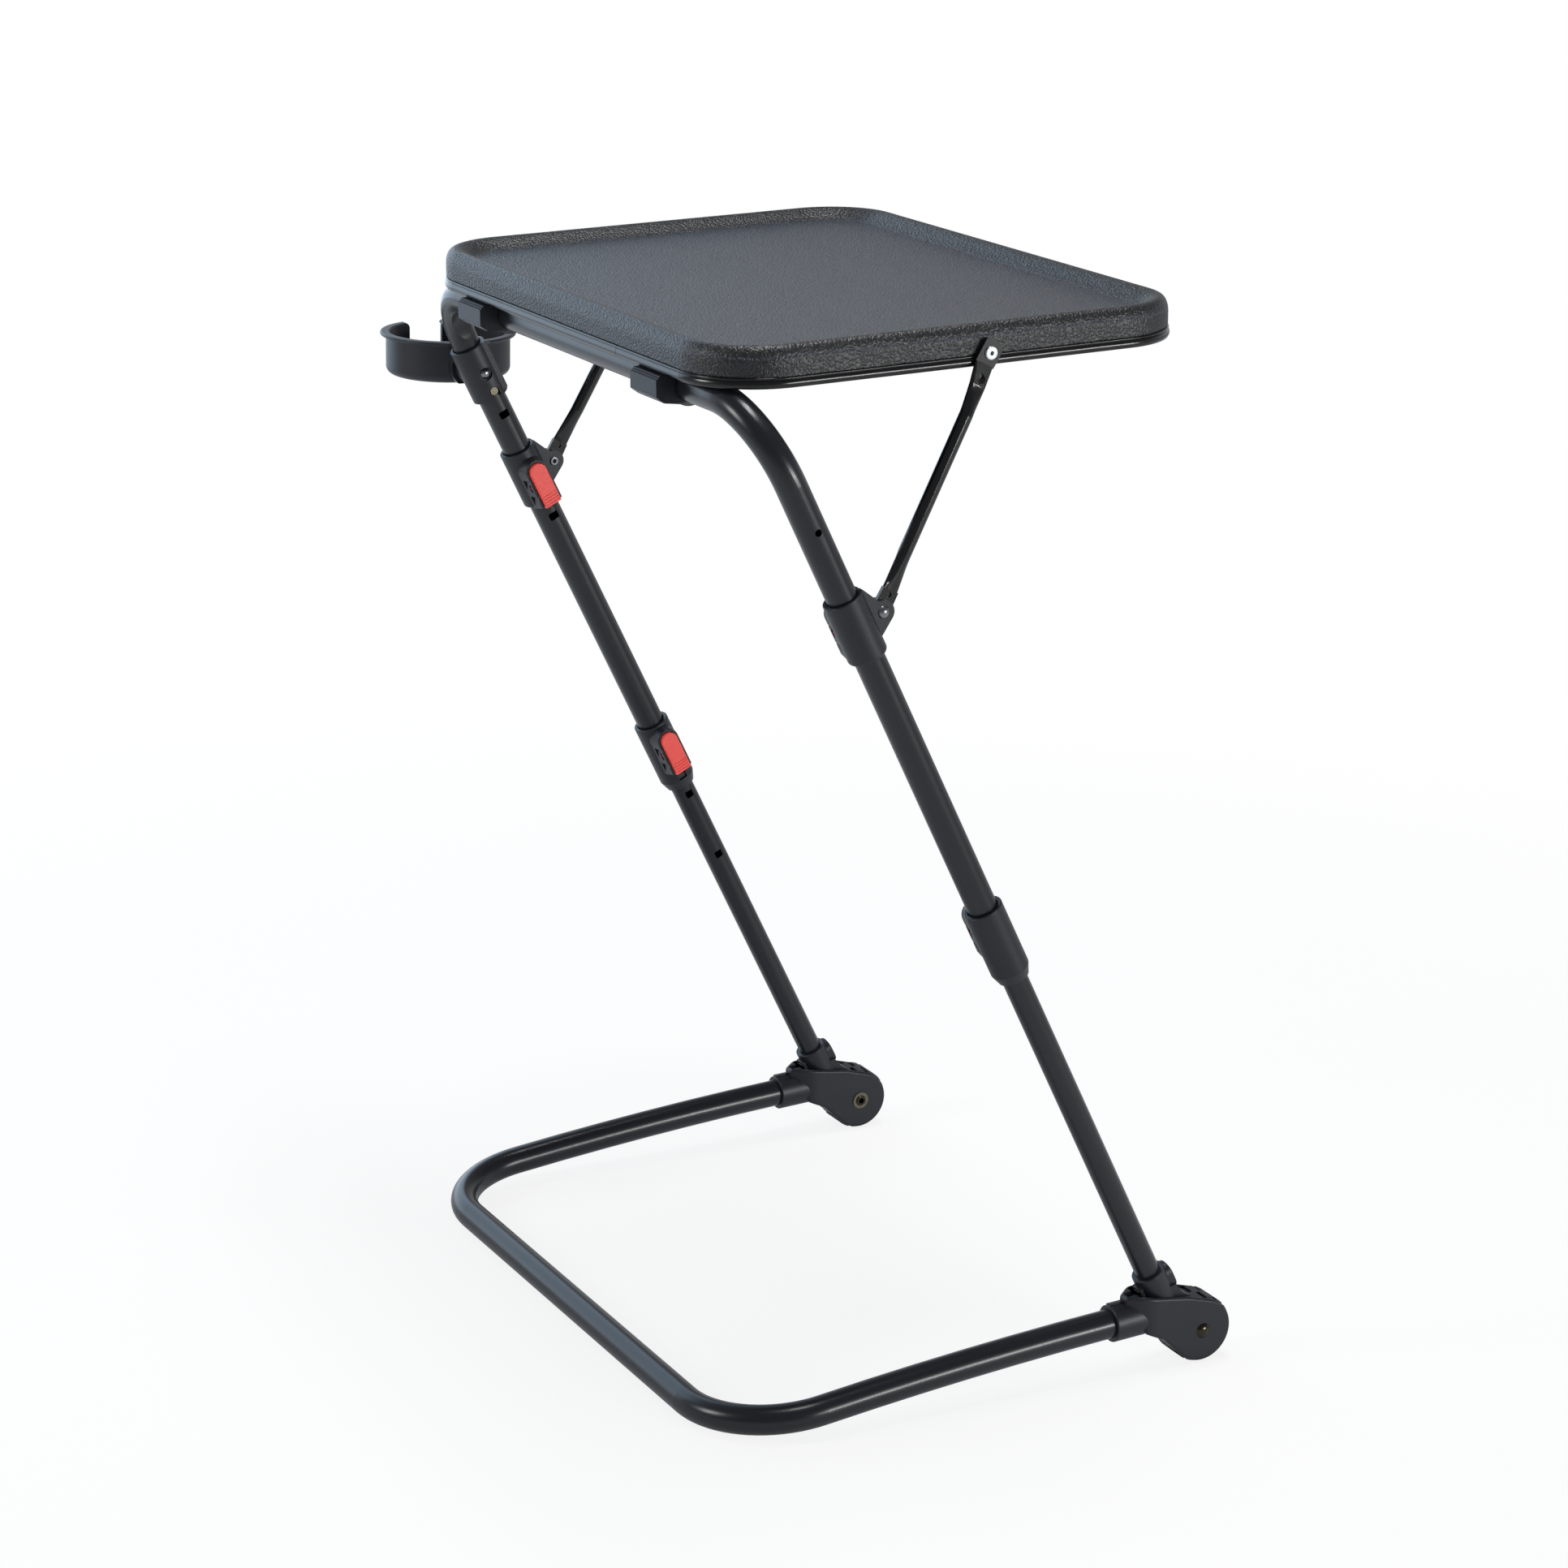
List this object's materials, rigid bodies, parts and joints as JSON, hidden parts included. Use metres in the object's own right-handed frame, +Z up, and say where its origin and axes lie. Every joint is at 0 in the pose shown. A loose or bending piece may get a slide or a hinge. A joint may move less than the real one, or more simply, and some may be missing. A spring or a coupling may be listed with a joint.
{
  "type": "folding tray table",
  "caption": "Folding tray table: slanted telescoping legs on a U-shaped floor base with small wheels, a rimmed tray that tilts on struts, release levers and a swivelling cup holder.",
  "frame": {"origin": "on the floor under the middle of the bounding box", "axes": "+X across the table to the side without the cup holder, -Y to the front bar of the base, +Z up"},
  "size_m": [0.6667, 0.4401, 0.8067],
  "materials": {
    "satin_black_tube": "satin",
    "gloss_black_strut": "gloss",
    "charcoal_moulding": "fine matte grain",
    "grey_tray_moulding": "pebbled matte grain",
    "dark_edge_strip": "gloss",
    "coral_lever": "satin",
    "black_wheel": "matte",
    "bright_zinc": "zinc plated",
    "dark_steel": "blackened"
  },
  "bodies": {
    "base": {"base_tube": "satin_black_tube", "foot_outer_shell_left": "charcoal_moulding", "foot_inner_shell_left": "charcoal_moulding", "axle_rivet_left": "dark_steel", "axle_washer_left": "dark_steel", "leg_pivot_pin_left": "bright_zinc", "foot_outer_shell_right": "charcoal_moulding", "foot_inner_shell_right": "charcoal_moulding", "axle_rivet_right": "dark_steel", "axle_washer_right": "dark_steel", "leg_pivot_pin_right": "bright_zinc"},
    "lower_legs": {"leg_socket_left": "charcoal_moulding", "lower_leg_left": "satin_black_tube", "leg_guide_left": "charcoal_moulding", "leg_bolt_left": "dark_steel", "leg_nut_left": "dark_steel", "leg_socket_right": "charcoal_moulding", "lower_leg_right": "satin_black_tube", "leg_guide_right": "charcoal_moulding", "leg_bolt_right": "dark_steel", "leg_nut_right": "dark_steel"},
    "upper_frame": {"upper_frame_tube": "satin_black_tube", "cup_collar": "charcoal_moulding", "cup_rivet": "bright_zinc", "cup_stop_pin": "bright_zinc", "height_collar_left": "charcoal_moulding", "height_collar_right": "charcoal_moulding"},
    "tray": {"tray_top": "grey_tray_moulding", "edge_trim": "dark_edge_strip", "crossbar_clip_left": "charcoal_moulding", "crossbar_clip_right": "charcoal_moulding", "clip_screws": "dark_steel"},
    "cup_holder": {"cup_holder": "charcoal_moulding"},
    "wheel_left": {"wheel_left": "black_wheel"},
    "height_lever_left": {"height_lever_left": "coral_lever", "height_spring_left": "bright_zinc"},
    "tilt_collar_left": {"tilt_collar_left": "charcoal_moulding", "clevis_rivet_left": "bright_zinc"},
    "tilt_lever_left": {"tilt_lever_left": "coral_lever", "tilt_spring_left": "bright_zinc"},
    "strut_left": {"strut_left": "gloss_black_strut", "tray_rivet_left": "bright_zinc"},
    "wheel_right": {"wheel_right": "black_wheel"},
    "height_lever_right": {"height_lever_right": "coral_lever", "height_spring_right": "bright_zinc"},
    "tilt_collar_right": {"tilt_collar_right": "charcoal_moulding", "clevis_rivet_right": "bright_zinc"},
    "tilt_lever_right": {"tilt_lever_right": "coral_lever", "tilt_spring_right": "bright_zinc"},
    "strut_right": {"strut_right": "gloss_black_strut", "tray_rivet_right": "bright_zinc"}
  },
  "joints": [
    {"name": "wheel_left_spin", "type": "hinge", "parent": "base", "child": "wheel_left", "pos_m": [-0.2143, 0.1944, 0.0257], "axis": [1, 0, 0], "continuous": true},
    {"name": "wheel_right_spin", "type": "hinge", "parent": "base", "child": "wheel_right", "pos_m": [0.3149, 0.1944, 0.0257], "axis": [1, 0, 0], "continuous": true},
    {"name": "leg_fold", "type": "hinge", "parent": "base", "child": "lower_legs", "pos_m": [0.0503, 0.1371, 0.0535], "axis": [1, 0, 0], "range_deg": [0, 63]},
    {"name": "height_slide", "type": "slide", "parent": "lower_legs", "child": "upper_frame", "axis": [0, -0.4524, 0.8918], "range_m": [-0.125, 0.0625]},
    {"name": "tray_hinge", "type": "hinge", "parent": "upper_frame", "child": "tray", "pos_m": [0.0503, -0.19412, 0.75794], "axis": [1, 0, 0], "range_deg": [-34, 0]},
    {"name": "tilt_slide_left", "type": "slide", "parent": "upper_frame", "child": "tilt_collar_left", "axis": [0, -0.4524, 0.8918], "range_m": [-0.1484, 0.001]},
    {"name": "strut_hinge_left", "type": "hinge", "parent": "tilt_collar_left", "child": "strut_left", "pos_m": [-0.2143, -0.09618, 0.6124], "axis": [1, 0, 0], "range_deg": [-0.5, 27.11]},
    {"name": "height_lever_left_press", "type": "hinge", "parent": "upper_frame", "child": "height_lever_left", "pos_m": [-0.1958, 0.00545, 0.36457], "axis": [0, 0.8918, 0.4524], "range_deg": [0, 8], "stiffness_Nm_per_rad": 0.6, "springref_deg": -8.59},
    {"name": "tilt_lever_left_press", "type": "hinge", "parent": "tilt_collar_left", "child": "tilt_lever_left", "pos_m": [-0.1958, -0.11336, 0.59875], "axis": [0, 0.8918, 0.4524], "range_deg": [0, 8], "stiffness_Nm_per_rad": 0.6, "springref_deg": -8.59},
    {"name": "tilt_slide_right", "type": "slide", "parent": "upper_frame", "child": "tilt_collar_right", "axis": [0, -0.4524, 0.8918], "range_m": [-0.1484, 0.001]},
    {"name": "strut_hinge_right", "type": "hinge", "parent": "tilt_collar_right", "child": "strut_right", "pos_m": [0.3149, -0.09618, 0.6124], "axis": [1, 0, 0], "range_deg": [-0.5, 27.11]},
    {"name": "height_lever_right_press", "type": "hinge", "parent": "upper_frame", "child": "height_lever_right", "pos_m": [0.2964, 0.00545, 0.36457], "axis": [0, -0.8918, -0.4524], "range_deg": [0, 8], "stiffness_Nm_per_rad": 0.6, "springref_deg": -8.59},
    {"name": "tilt_lever_right_press", "type": "hinge", "parent": "tilt_collar_right", "child": "tilt_lever_right", "pos_m": [0.2964, -0.11336, 0.59875], "axis": [0, -0.8918, -0.4524], "range_deg": [0, 8], "stiffness_Nm_per_rad": 0.6, "springref_deg": -8.59},
    {"name": "cup_swivel", "type": "hinge", "parent": "upper_frame", "child": "cup_holder", "pos_m": [-0.2295, -0.15888, 0.68847], "axis": [1, 0, 0], "range_deg": [-66, 30]}
  ],
  "couplings": [
    {"joint": "tilt_slide_left", "follows": "tray_hinge", "m_per_rad": 0.24843},
    {"joint": "strut_hinge_left", "follows": "tray_hinge", "ratio": -0.7826},
    {"joint": "tilt_slide_right", "follows": "tray_hinge", "m_per_rad": 0.24843},
    {"joint": "strut_hinge_right", "follows": "tray_hinge", "ratio": -0.7826}
  ]
}
